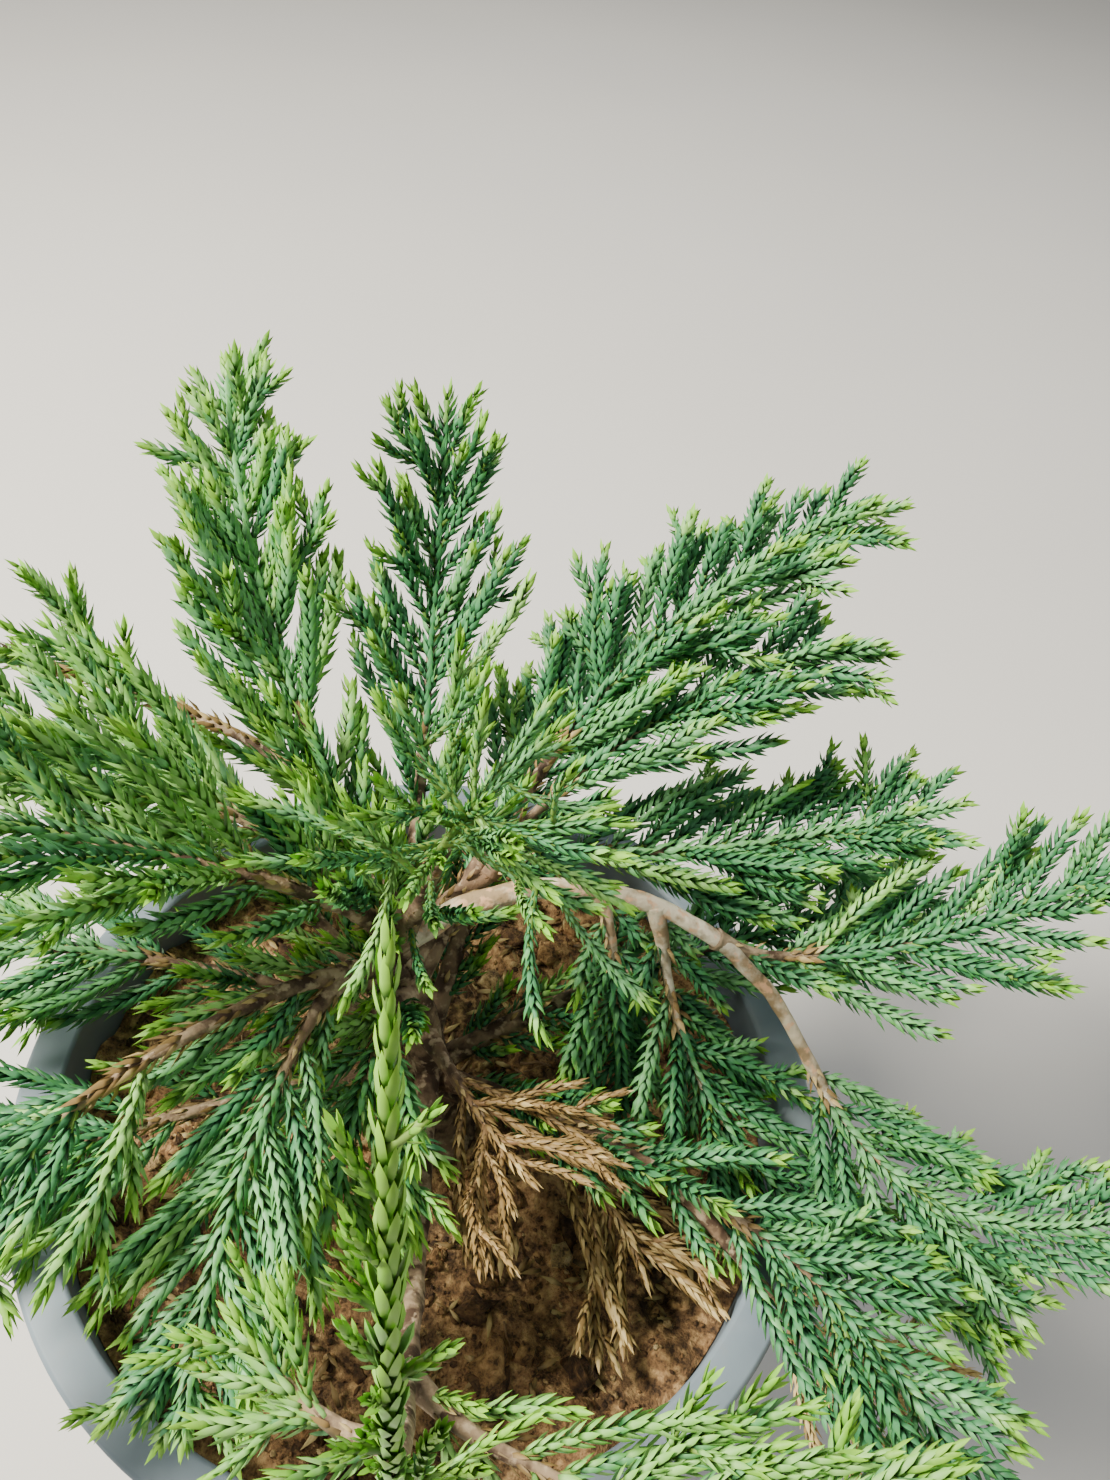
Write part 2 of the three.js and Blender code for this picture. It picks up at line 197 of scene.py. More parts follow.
def turnedUp(name, facets, profile, poked=False):  # a round piece from (radius, height) in millimetres
    deselectAll()
    radius, height = profile[0]
    bpy.ops.mesh.primitive_circle_add(
        vertices=facets, radius=radius * millimetre, fill_type="NGON",
        location=(0, 0, height * millimetre))
    piece = bpy.context.object
    piece.name = name
    bpy.ops.object.transform_apply(location=True, rotation=False, scale=False)
    bpy.ops.object.mode_set(mode="EDIT")
    bpy.ops.mesh.select_all(action="SELECT")
    for nextRadius, nextHeight in profile[1:]:
        rise = (nextHeight - height) * millimetre
        bpy.ops.mesh.extrude_region_move(TRANSFORM_OT_translate={"value": (0, 0, rise)})
        grow = nextRadius / radius
        bpy.ops.transform.resize(value=(grow, grow, 1), center_override=(0, 0, 0))
        radius, height = nextRadius, nextHeight
    if poked:
        bpy.ops.mesh.poke()
    bpy.ops.mesh.select_all(action="SELECT")
    bpy.ops.mesh.normals_make_consistent(inside=False)
    bpy.ops.object.mode_set(mode="OBJECT")
    return piece


def finishPiece(piece, nodes=()):
    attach(piece, "root")
    if nodes:
        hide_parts(*nodes)


# Smooth noise on a grid of draws, for relief that is worked out point by point

def gridDraw(ix, iy, seed):
    wave = np.sin(ix * 12.9898 + iy * 78.233 + seed * 37.719) * 43758.5453
    return wave - np.floor(wave)


def relief(x, y, seed):
    ix, iy = np.floor(x), np.floor(y)
    fx, fy = x - ix, y - iy
    fx, fy = fx * fx * (3 - 2 * fx), fy * fy * (3 - 2 * fy)
    low = gridDraw(ix, iy, seed) * (1 - fx) + gridDraw(ix + 1, iy, seed) * fx
    high = gridDraw(ix, iy + 1, seed) * (1 - fx) + gridDraw(ix + 1, iy + 1, seed) * fx
    return 2 * (low * (1 - fy) + high * fy) - 1


# The pot

pot = {
    "height": 180, "rimRadius": 110, "rimWidth": 11, "rimDrop": 12, "rimEdge": 1,
    "ledgeDrop": 24, "ledgeDepth": 2, "baseRadius": 84, "footChamfer": 1.5,
    "floor": 3, "wall": 2.2, "facets": 144, "holes": 6, "holeRadius": 5, "holeRing": 64,
    "holeFacets": 24, "drillDepth": 20, "edgeRound": 0.5, "roundFrom": 30, "smoothTo": 35,
    # Heights over which the pot turns pale: sun bleaching of the plastic and a painted reflection of the
    # sky.
    "bleachAndReflectionFrom": 128, "bleachAndReflectionAt": 176,
}
pot["mouth"] = pot["rimRadius"] - pot["rimWidth"]
pot["ledgeTop"] = pot["height"] - pot["ledgeDrop"]


def potFinish():
    finish = Finish("potPlastic")
    height = finish.node("SeparateXYZ", {}, {0: finish.place()}, output=2)
    patches = finish.noise(14, 6)
    streaks = finish.noise(9, 5, finish.stretched(finish.place(), (6, 6, 0.6)))
    specks = finish.noise(170, 6)
    # The top of the pot, its rim and the inner wall above the soil turn pale blue-grey. This is partly sun
    # bleaching and partly a painted reflection of the sky.
    low, high = pot["bleachAndReflectionFrom"] * millimetre, pot["bleachAndReflectionAt"] * millimetre
    ledge = finish.node("MapRange", {}, {0: height, 1: low, 2: high})
    bleachAndReflectionShare = ledge * (patches * 0.9 + 0.45)
    shell = finish.fade(streaks, 0.35, 0.75, shade("33393e"), shade("4a5258"))
    bleachAndSkyReflection = finish.fade(patches, 0.3, 0.72, shade("6f7f8c"), shade("97a5ad"))
    dust = finish.steps(specks * 0.35 + patches * 0.65, (0.5, 0), (0.72, 1))
    # The dark shell with the pale top blended in, which is sun bleaching and painted sky reflection.
    worn = finish.blend(bleachAndReflectionShare, shell, bleachAndSkyReflection)
    finish.colour(finish.blend(dust * 0.3, worn, shade("8f8474")))
    finish.rough(0.42 + 0.3 * patches)
    finish.bump(specks + streaks, 0.0002, 0.35)
    return finish.material


def makePot():
    top, rim, wall, edge, mouth = (
        pot[key] for key in ("height", "rimRadius", "wall", "rimEdge", "mouth"))
    ledge, depth, base, under = pot["ledgeTop"], pot["ledgeDepth"], pot["baseRadius"], top - pot["rimDrop"]
    profile = [
        (base - pot["footChamfer"], 0), (base, pot["footChamfer"]), (mouth + wall - depth, ledge - depth),
        (mouth + wall, ledge), (mouth + wall, top - wall), (rim - wall, top - wall), (rim - wall, under),
        (rim, under), (rim, top - edge), (rim - edge, top), (mouth + edge, top), (mouth, top - edge),
        (mouth, ledge), (mouth - depth, ledge - depth), (base - wall, pot["floor"]),
    ]
    piece = turnedUp("pot_shell", pot["facets"], profile)
    cutHoles(piece)
    bevel = piece.modifiers.new("edges", "BEVEL")
    bevel.width = pot["edgeRound"] * millimetre
    bevel.segments = 2
    bevel.angle_limit = math.radians(pot["roundFrom"])
    bpy.ops.object.modifier_apply(modifier=bevel.name)
    bpy.ops.object.shade_smooth_by_angle(angle=math.radians(pot["smoothTo"]))
    piece.data.materials.append(potFinish())
    finishPiece(piece, ["pot"])
    print("pot made")


def cutHoles(piece):
    deselectAll()
    for i in range(pot["holes"]):
        turn = 2 * math.pi * i / pot["holes"]
        place = [pot["holeRing"] * millimetre * f for f in (math.cos(turn), math.sin(turn), 0)]
        bpy.ops.mesh.primitive_cylinder_add(
            vertices=pot["holeFacets"], radius=pot["holeRadius"] * millimetre,
            depth=pot["drillDepth"] * millimetre, location=place)
        drill = bpy.context.object
        deselectAll()
        piece.select_set(True)
        bpy.context.view_layer.objects.active = piece
        cut = piece.modifiers.new("hole", "BOOLEAN")
        cut.operation = "DIFFERENCE"
        cut.object = drill
        bpy.ops.object.modifier_apply(modifier=cut.name)
        bpy.data.objects.remove(drill)


# The soil

soil = {
    "level": 160, "lump": 2.2, "gap": 0.3, "facets": 192, "ring": 1.6, "levelUnderTrunk": 16,
    "grit": ((7, 1.1), (3.1, 0.8), (1.4, 0.4)),  # size and height of each layer of relief
    "sunk": 0.4, "evenGrit": 0.3, "smoothTo": 60, "levelEdge": 0.6,
    "swell": (0.13, 0.17), "ripple": (0.31, 0.27), "rippleShare": 0.5,  # waves across it, along x and y
}
soil["edge"] = pot["mouth"] - pot["ledgeDepth"] - soil["gap"]


def soilHeight(x, y):
    (swellX, swellY), (rippleX, rippleY) = soil["swell"], soil["ripple"]
    ripples = soil["rippleShare"] * np.sin(x * rippleX + y * rippleY)
    lumps = np.sin(x * swellX + 1) * np.cos(y * swellY) + ripples
    grit = sum(rise * relief(x / size, y / size, i + 1) for i, (size, rise) in enumerate(soil["grit"]))
    away = np.clip(np.hypot(x, y) / soil["levelUnderTrunk"] - soil["levelEdge"], 0, 1)
    uneven = away * (soil["lump"] * lumps + grit) + soil["evenGrit"] * grit
    return soil["level"] + uneven - soil["sunk"]


def soilFinish(name, dark, light, grit):
    finish = Finish(name)
    patches = finish.noise(38, 6)
    grains = finish.noise(330, 6)
    fine = finish.noise(1300, 3)
    earth = finish.fade(patches, 0.34, 0.66, shade(dark), shade(light))
    gritty = finish.fade(grains, 0.5, 0.68, earth, shade(grit))
    # Dark spots between the grains are painted shade in the gaps between the clods.
    gapShade = finish.steps(grains * 0.6 + fine * 0.4, (0.38, 1), (0.5, 0))
    finish.colour(finish.blend(gapShade * 0.8, gritty, shade("281b12")))
    finish.rough(0.85 + 0.12 * fine)
    finish.bump(grains * 0.7 + fine * 0.6, 0.0014, 1)
    return finish.material


def makeSoil():
    brim = pot["mouth"] - soil["gap"]
    profile = [
        (pot["baseRadius"] - pot["wall"] - soil["gap"], pot["floor"] + soil["gap"]),
        (soil["edge"], pot["ledgeTop"] - pot["ledgeDepth"] - soil["gap"]),
        (soil["edge"], pot["ledgeTop"] + soil["gap"]),
        (brim, pot["ledgeTop"] + 2 * soil["gap"]),
        (brim, soil["level"]),
    ]
    rings = int(brim / soil["ring"])
    profile += [(brim - i * soil["ring"], soil["level"]) for i in range(1, rings)]
    piece = turnedUp("soil_bed", soil["facets"], profile, poked=True)
    points = np.empty(len(piece.data.vertices) * 3)
    piece.data.vertices.foreach_get("co", points)
    points = points.reshape(-1, 3) / millimetre
    top = points[:, 2] > soil["level"] - 1
    points[top, 2] = soilHeight(points[top, 0], points[top, 1])
    piece.data.vertices.foreach_set("co", (points * millimetre).ravel())
    piece.data.update()
    bpy.ops.object.shade_smooth_by_angle(angle=math.radians(soil["smoothTo"]))
    piece.data.materials.append(soilFinish("soilEarth", "5e4830", "aa8054", "d2aa74"))
    finishPiece(piece, ["soil"])
    print("soil made")


def turned(draws, count):  # as many random turns, each as three directions
    axes = draws.normal(size=(count, 4))
    a, b, c, d = (axes / np.linalg.norm(axes, axis=1, keepdims=True)).T
    return np.stack([
        np.stack([1 - 2 * (c * c + d * d), 2 * (b * c - d * a), 2 * (b * d + c * a)], 1),
        np.stack([2 * (b * c + d * a), 1 - 2 * (b * b + d * d), 2 * (c * d - b * a)], 1),
        np.stack([2 * (b * d - c * a), 2 * (c * d + b * a), 1 - 2 * (b * b + c * c)], 1),
    ], 1)


def scattered(draws, count, margin):
    reach = (soil["edge"] - margin) * np.sqrt(draws.random(count))
    turn = 2 * math.pi * draws.random(count)
    return reach * np.cos(turn), reach * np.sin(turn)


def awayFromTrunk(x, y, reach):
    return np.hypot(x - trunk["base"][0], y - trunk["base"][1]) > reach


crumbs = {
    # fineness of the mesh, number, smallest and largest radius, share of them near the heap
    "kinds": ((1, 2600, 0.5, 1.9, 0), (2, 110, 2, 4.4, 0), (2, 9, 5.5, 8, 0.8)),
    "smallBias": 2.2, "lumpiness": 0.28, "flattest": (0.6, 0.5), "raised": 0.15, "offTrunk": 12,
    "heap": (34, -62), "heapReach": (17, 10.2), "darkBrownPale": (0.45, 0.4, 0.15), "seed": 5,
    "roundness": 0.4, "margin": 1, "heapMargin": 2,
}


def makeCrumbs():
    draws = np.random.default_rng(crumbs["seed"])
    shapes = Shapes()
    for fineness, count, low, high, heaped in crumbs["kinds"]:
        deselectAll()
        bpy.ops.mesh.primitive_ico_sphere_add(subdivisions=fineness, radius=1)
        ball = bpy.context.object
        points = np.array([v.co for v in ball.data.vertices])
        faces = np.array([list(f.vertices) for f in ball.data.polygons])
        bpy.data.objects.remove(ball)
        size = low + (high - low) * draws.random(count) ** crumbs["smallBias"]
        x, y = scattered(draws, count, size + crumbs["margin"])
        if heaped:
            near = draws.random(count) < heaped
            x[near], y[near] = [draws.normal(middle, reach, near.sum())
                                for middle, reach in zip(crumbs["heap"], crumbs["heapReach"])]
            inside = np.hypot(x, y) < soil["edge"] - size - crumbs["heapMargin"]
            x, y, size = x[inside], y[inside], size[inside]
        clear = awayFromTrunk(x, y, size + crumbs["offTrunk"])
        x, y, size = x[clear], y[clear], size[clear]
        sides = [least + crumbs["roundness"] * draws.random(len(x)) for least in crumbs["flattest"]]
        flat = np.stack([np.ones(len(x)), *sides], 1)
        lumpy = 1 + crumbs["lumpiness"] * draws.normal(size=(len(x), len(points), 1))
        own = points[None] * lumpy * flat[:, None] * size[:, None, None]
        own = np.einsum("nij,nkj->nki", turned(draws, len(x)), own)
        own += np.stack([x, y, soilHeight(x, y) + crumbs["raised"] * size], 1)[:, None]
        slots = np.repeat(draws.choice(3, len(x), p=crumbs["darkBrownPale"]), len(faces))
        first = len(points) * np.arange(len(x))[:, None, None]
        shapes.add(own, (faces[None] + first).reshape(-1, 3), slots)
    materials = [
        soilFinish("crumbDark", "3a2a1a", "6a4c30", "8e6a42"),
        soilFinish("crumbBrown", "705032", "aa8050", "c89e68"),
        soilFinish("crumbPale", "9a7c50", "c8a872", "dcc28e"),
    ]
    finishPiece(shapes.build("soil_crumbs", materials))


litter = {
    "needles": 520, "needleMargin": 8, "needleSize": (0.6, 1), "height": (0.8, 2.2), "tilt": 0.12,
    "strawShare": 0.55, "roots": 70, "rootMargin": 22, "rootLength": (7, 20), "rootBend": 0.12,
    "rootRadius": (0.2, 0.5), "rootSteps": 8, "rootHeight": 0.7, "rootSides": 5, "offTrunk": 14,
    "rootStep": 1.6, "rootTaper": 0.5, "seed": 9,
}


def makeLitter(needleMaterials):  # fallen needles and fine dead roots on the soil
    draws = np.random.default_rng(litter["seed"])
    needles, roots = Shapes(), Shapes()
    x, y = scattered(draws, litter["needles"], litter["needleMargin"])
    clear = awayFromTrunk(x, y, litter["offTrunk"])
    x, y = x[clear], y[clear]
    turn, lift = draws.uniform(0, 2 * math.pi, len(x)), draws.normal(0, litter["tilt"], len(x))
    along = unit(np.stack([np.cos(turn), np.sin(turn), lift], 1))
    outward = unit(np.stack([-np.cos(turn) * lift, -np.sin(turn) * lift, np.ones(len(x))], 1))
    base = np.stack([x, y, soilHeight(x, y) + draws.uniform(*litter["height"], len(x))], 1)
    size, straw = draws.uniform(*litter["needleSize"], len(x)), litter["strawShare"]
    tone = toneOf["straw"] + draws.choice(2, len(x), p=(straw, 1 - straw))
    addNeedles(needles, "plain", base, along, outward, size, tone, draws.uniform(-1, 1, len(x)))
    finishPiece(needles.build("needle_litter", needleMaterials, needle["sharpest"]))
    x, y = scattered(draws, litter["roots"], litter["rootMargin"])
    steps, bend = litter["rootSteps"], litter["rootBend"]
    clear = awayFromTrunk(x, y, litter["offTrunk"])
    for start in zip(x[clear], y[clear]):
        course, length = draws.uniform(0, 6.28), draws.uniform(*litter["rootLength"])
        turns = course + draws.uniform(-bend, bend) * np.arange(steps)
        turns = turns + draws.normal(0, bend, steps).cumsum()
        moves = length / steps * np.stack([np.cos(turns), np.sin(turns)], 1)
        flat = np.array(start) + np.vstack([[0, 0], np.cumsum(moves, 0)])
        path = np.column_stack([flat, soilHeight(flat[:, 0], flat[:, 1]) + litter["rootHeight"]])
        line, _, side, across = smoothLine(path, litter["rootStep"])
        taper = np.linspace(1, litter["rootTaper"], len(line))
        radius = draws.uniform(*litter["rootRadius"]) * taper
        addTube(roots, line, side, across, radius, litter["rootSides"], 0)
    finishPiece(roots.build("dead_roots", [twigFinish("rootDead", "7d5a3c", "b08f68")]))


# Growth, by the rule and the sizes of the solid model, in millimetres

growth = {
    "gap": 0.3, "boughRadius": (3.1, 1.6), "offshootRadius": (2.1, 1.3), "boughStep": 17,
    "needleReach": 4.6, "whorlPitch": 8.2, "shootSpacing": 24, "shootLength": 44,
    "shootSpread": 48, "shootBend": 0.5, "firstShoot": 0.12, "shootZone": 0.72,
    "rollScatter": 0.35, "rosetteShoots": 8, "rosetteTurn": 2.4, "fewestShoots": 3,
    "shortestShoot": 3, "shootJitter": (0.2, 0.8), "vigour": (0.85, 1.1), "shootTaper": (1.08, 0.6),
}
trunk = {
    "base": (3, -3), "radius": 7, "tipRadius": 3.4, "flare": 5, "flareHeight": 5, "steps": 10,
    "run": (132, 10, 87, 70, 82),
}

# Parent, place on it, run (azimuth, turn, rise, settle, length) and spray (turn, settle, length, lift)
def boughOf(parent, at, run, spray, **more):
    return dict(parent=parent, at=at, run=run, spray=spray, **more)


boughs = {
    "left_back": boughOf("trunk", 0.93, (112, 50, 34, 4, 72), (20, 0, 118, 64)),
    "left": boughOf("trunk", 0.98, (218, -20, 78, 36, 46), (-22, -8, 132, 8)),
    "left_high": boughOf("left", 0.5, (158, 8, 56, 20, 26), (6, -12, 108, 16)),
    "left_front": boughOf("trunk", 0.88, (228, -6, 60, 8, 50), (26, -36, 122, -20)),
    "front_left": boughOf("left_front", 0.45, (244, 14, 24, 0, 20), (12, -52, 84, -12)),
    "front_inner": boughOf("trunk", 0.8, (258, 4, 50, 16, 18), (2, -50, 50, -10)),
    "front": boughOf("trunk", 0.42, (277, 1, 2, 72, 138), (2, 127, 138, 12), shoots=0.36),
    "front_side_left": boughOf("front", 0.94, (189, -30, -4, 4, 10), (-24, 0, 26, 0), shoots=0.45),
    "front_side_right": boughOf("front", 0.7, (322, 18, 4, 10, 22), (26, 14, 96, 24)),
    "right_front": boughOf("trunk", 1, (42, -92, 20, -40, 126), (72, 30, 104, 4)),
    "right_hanging": boughOf("right_front", 0.42, (304, -6, -24, -60, 12), (2, -74, 64, 0)),
    "right_low": boughOf("right_front", 0.54, (300, 4, -50, -60, 20), (50, 32, 138, 0)),
    "right": boughOf("right_front", 0.68, (-9, 20, -30, -6, 16), (16, 40, 106, 6)),
    "right_back": boughOf("trunk", 0.9, (72, -56, 36, -10, 52), (7, 7, 120, 14)),
    "right_back_high": boughOf("right_back", 0.6, (62, -14, 38, 20, 22), (-22, -2, 104, 18)),
    "back_right": boughOf("trunk", 0.8, (66, -4, 42, 20, 62), (-26, 4, 140, 20)),
    "back": boughOf("trunk", 0.86, (98, -2, 24, 14, 54), (0, 50, 112, 24)),
    "back_low": boughOf("trunk", 0.5, (82, -6, 36, 8, 66), (-14, -22, 114, -6)),
    "back_left": boughOf("trunk", 0.76, (128, -4, 38, 18, 68), (-18, 18, 132, 26)),
    "back_left_low": boughOf("trunk", 0.44, (142, 4, 36, 4, 68), (10, -28, 110, -8)),
    "left_low": boughOf("trunk", 0.54, (180, -2, 36, 4, 62), (10, -32, 114, -10)),
    "front_left_low": boughOf("trunk", 0.36, (210, -4, 36, 4, 66), (-10, -34, 98, -8)),
    "front_right_low": boughOf("trunk", 0.36, (338, -4, 30, 2, 84), (-34, -20, 96, 0)),
    "back_right_low": boughOf("trunk", 0.4, (26, 0, 34, 4, 66), (10, -24, 108, -6)),
    "top": boughOf("trunk", 1, (10, -40, 74, 78, 42), (0, 60, 30, 0), spread=76, whorled=True),
    "dry_centre": boughOf("trunk", 0.62, (306, 0, 26, 12, 18), (10, 6, 34, 10), dry=True),
    "dry_inner": boughOf("trunk", 0.3, (344, -8, 22, -8, 34), (-40, -14, 44, 0), dry=True),
    "dry_right": boughOf("front_right_low", 0.9, (320, 10, -16, -34, 34), (16, -10, 50, -8), dry=True),
}


class Draws:  # the same draws as the solid model's
    def __init__(self, seed):
        self.state = (seed * 7919 + 104729) % 4294967296
        self.next()
        self.next()

    def next(self):
        self.state = (self.state * 1664525 + 1013904223) % 4294967296
        return self.state / 4294967296

    def between(self, low, high):
        return low + (high - low) * self.next()


def nearest(value):
    return math.floor(value + 0.5)


def unit(vectors):
    return vectors / np.linalg.norm(vectors, axis=-1, keepdims=True)


def heading(azimuth, rise):
    a, e = math.radians(azimuth), math.radians(rise)
    return np.array([math.cos(e) * math.cos(a), math.cos(e) * math.sin(a), math.sin(e)])


def sweep(start, run, steps):
    azimuth, turn, rise, settle, length = run
    path = [np.asarray(start, float)]
    for i in range(steps):
        share = (i + 0.5) / steps
        step = heading(azimuth + turn * share, rise + (settle - rise) * share)
        path.append(path[-1] + step * length / steps)
    return np.array(path)


def pointOn(path, share):
    place = share * (len(path) - 1)
    i = min(int(place), len(path) - 2)
    return path[i] + (path[i + 1] - path[i]) * (place - i)


def tangentAt(path, i):
    return unit(path[min(i + 1, len(path) - 1)] - path[max(i - 1, 0)])


taken = {"from": [], "to": [], "radius": [], "owner": []}


def take(owner, path, radius):
    for start, end in zip(path, path[1:]):
        for key, value in zip(taken, (start, end, radius, owner)):
            taken[key].append(value)


def settleTaken():
    return {key: np.array(values) for key, values in taken.items()}


def isFree(spaces, owner, point, reach):
    others = spaces["owner"] != owner
    a, b = spaces["from"][others], spaces["to"][others]
    line = b - a
    share = np.clip(((point - a) * line).sum(1) / (line * line).sum(1), 0, 1)
    distance = np.linalg.norm(a + line * share[:, None] - point, axis=1)
    return bool((distance > spaces["radius"][others] + reach + growth["gap"]).all())


def clearOfPot(point, reach):
    radius = math.hypot(point[0], point[1])
    top = soil["level"] + 1.5 * soil["lump"]
    aboveSoil = radius < pot["mouth"] - reach and point[2] > top + reach
    aboveRim = point[2] > pot["height"] + reach + growth["gap"]
    outside = radius > pot["rimRadius"] + reach + growth["gap"]
    return aboveSoil or aboveRim or outside


def freeStretch(spaces, owner, path, skip, reach):
    last = skip
    while last < len(path) - 1:
        ahead = path[last + 1]
        middle = (path[last] + ahead) / 2
        if not all(isFree(spaces, owner, p, reach) and clearOfPot(p, reach) for p in (middle, ahead)):
            break
        last += 1
    return path[:last + 1]


def sideShoot(axis, share, roll, spread, length, pitch):
    ring = min(int(share * (len(axis) - 1)) + 1, len(axis) - 1)
    along = tangentAt(axis, ring)
    level = unit(np.cross((0, 0, 1), along))
    upward = np.cross(along, level)
    across = level * math.cos(roll) + upward * math.sin(roll)
    steps = max(growth["shortestShoot"], nearest(length / pitch))
    path = [pointOn(axis, share)]
    for i in range(steps):
        angle = math.radians(spread * (1 - growth["shootBend"] * i / steps))
        path.append(path[-1] + (along * math.cos(angle) + across * math.sin(angle)) * length / steps)
    return np.array(path)


def rollOf(k, bough, draws):
    scatter = draws.between(-growth["rollScatter"], growth["rollScatter"])
    if bough.get("whorled"):
        return k * growth["rosetteTurn"] + scatter
    up = math.radians(bough["spray"][3])
    return up + scatter if k % 2 == 0 else math.pi - up + scatter


# Limbs as in the solid model

def growLimbs():
    start = (*trunk["base"], soil["level"] + growth["gap"])
    limbs = {"trunk": {"path": sweep(start, trunk["run"], trunk["steps"])}}
    for name, bough in boughs.items():
        root = pointOn(limbs[bough["parent"]]["path"], bough["at"])
        steps = max(2, nearest(bough["run"][4] / growth["boughStep"]))
        radii = growth["boughRadius" if bough["parent"] == "trunk" else "offshootRadius"]
        limbs[name] = {"path": sweep(root, bough["run"], steps), "radii": radii}
    middle = (trunk["radius"] + trunk["tipRadius"]) / 2
    take("trunk", limbs["trunk"]["path"], middle)
    for name in boughs:
        take(name, limbs[name]["path"], sum(limbs[name]["radii"]) / 2)
    print("limbs", len(limbs))
    return limbs


# Twigs beyond the solid model's: short side shoots between its own, and shoots on those

finer = {
    "spacing": 4.2, "length": 40, "shortest": 9, "scatter": 0.4, "spread": 40, "pitch": 5,
    "onShoots": 9, "onShootLength": 18, "reach": 1.6, "otherReach": 0.3, "hubSpacing": 2.2,
    "hubSpread": (40, 88), "hubLength": (16, 34), "jitter": (0.3, 1.1), "vigour": (0.7, 1.15),
    "onBoughs": 3.6, "onBoughLength": 30, "boughFrom": 0.1, "bareBoughs": ("right_front", "front"),
    "leaderBare": 0.34, "leaderShoot": 0.6, "tufted": 0.84, "tuftSpread": 30, "tuftLength": (5, 10),
    "bareTo": {"left_back": 0.55, "left_front": 0.25}, "lastShare": 0.94, "filled": 0.9,
    "shootFrom": 0.1, "shootRoll": 1,
    "onBoughVigour": (0.4, 0.7), "onSprayVigour": (1.12, -0.7),  # at the root, and its change to the tip
}
# Radius of a twig at its root and tip, by its order: 0 a spray's axis, 1 its shoots, 2 theirs
twigRadii = {0: (1.3, 0.5), 1: (0.9, 0.4), 2: (0.7, 0.35)}


def twigOf(name, path, order):
    return {"spray": name, "path": path, "order": order, "radii": twigRadii[order]}


def growShoots(limbs):
    shoots = []
    axes = {}
    for name, bough in boughs.items():
        path = limbs[name]["path"]
        start = path[-1] + tangentAt(path, len(path) - 1) * growth["gap"]
        azimuth, turn, _, settle, _ = bough["run"]
        sprayTurn, spraySettle, length, _ = bough["spray"]
        run = (azimuth + turn, sprayTurn, settle, spraySettle, length)
        axis = sweep(start, run, nearest(length / growth["whorlPitch"]))
        axes[name] = freeStretch(settleTaken(), name, axis, 1, growth["needleReach"])
        take(name, axes[name], growth["needleReach"])
    allDraws = {}
    for i, (name, bough) in enumerate(boughs.items()):
        draws = allDraws[name] = Draws(i + 1)
        axis = axes[name]
        shown = axis[:-1] if name == "front" else axis
        shoots.append(twigOf(name, shown, 0))
        length = bough["spray"][2]
        count = max(growth["fewestShoots"], nearest(length / growth["shootSpacing"]))
        count = growth["rosetteShoots"] if bough.get("whorled") else count
        plans = []
        for k in range(count):
            place = (k + draws.between(*growth["shootJitter"])) / count
            share = growth["firstShoot"] + growth["shootZone"] * place
            plans.append((share, rollOf(k, bough, draws), draws.between(*growth["vigour"])))
        longest, shorter = growth["shootTaper"]
        for share, roll, vigour in plans:
            reach = growth["shootLength"] * bough.get("shoots", 1) * (longest - shorter * share) * vigour
            spread = bough.get("spread", growth["shootSpread"])
            path = sideShoot(axis, share, roll, spread, reach, growth["whorlPitch"])
            side = freeStretch(settleTaken(), name, path, 1, growth["needleReach"])
            if len(side) > growth["shortestShoot"]:
                take(name, side, growth["needleReach"])
                if name == "front" and share > finer["leaderBare"]:
                    side = side[:max(3, nearest(len(side) * finer["leaderShoot"]))]
                shoots.append(twigOf(name, side, 1))
    spaces = settleTaken()
    foliage = spaces["radius"] == growth["needleReach"]
    spaces["radius"] = np.where(foliage, spaces["radius"] * finer["otherReach"], spaces["radius"])
    for name, bough in boughs.items():
        own = [s for s in shoots if s["spray"] == name]
        if not bough.get("dry") and name not in finer["bareBoughs"]:
            own.append({"spray": name, "order": -1, **limbs[name]})
            shoots.append(own[-1])
        shoots += growFiner(own, bough, spaces, allDraws[name])
    print("shoots", len(shoots))
    return axes, shoots


def pathLength(path):
    return float(np.linalg.norm(np.diff(path, axis=0), axis=1).sum())


def growFiner(own, bough, spaces, draws):
    found = []
    name = own[0]["spray"]
    slim = bough.get("shoots", 1)
    kinds = {
        -1: (finer["onBoughs"], finer["onBoughLength"], finer["boughFrom"]),
        0: (finer["hubSpacing" if bough.get("whorled") else "spacing"], finer["length"] * slim, 0),
        1: (finer["onShoots"], finer["onShootLength"], finer["shootFrom"]),
    }
    for shoot in own:
        total = pathLength(shoot["path"])
        spacing, longest, first = kinds[shoot["order"]]
        count = int(total * (finer["filled"] - first) / spacing)
        for k in range(count):
            share = first + (k + draws.between(*finer["jitter"])) * spacing / total
            roll = rollOf(k, bough, draws) + draws.between(-finer["scatter"], finer["scatter"])
            if shoot["order"]:
                roll += draws.between(-finer["shootRoll"], finer["shootRoll"])
            atRoot, change = finer["onBoughVigour" if shoot["order"] < 0 else "onSprayVigour"]
            reach = longest * (atRoot + change * share) * draws.between(*finer["vigour"])
            spread = finer["spread"]
            if bough.get("whorled"):
                spread, reach = draws.between(*finer["hubSpread"]), draws.between(*finer["hubLength"])
            reach = max(reach, finer["shortest"])
            if shoot["order"] == 0 and share < finer["bareTo"].get(name, 0):
                continue
            if name == "front" and shoot["order"] == 0:
                if k % 2 or share > finer["tufted"]:
                    continue
                spread, reach = finer["tuftSpread"], draws.between(*finer["tuftLength"])
            share = min(share, finer["lastShare"])
            path = sideShoot(shoot["path"], share, roll, spread, reach, finer["pitch"])
            path = freeStretch(spaces, name, path, 1, finer["reach"])
            if len(path) > 2:
                found.append(twigOf(name, path, 2))
    return found


# Smooth lines through the points of a path, with two directions across it

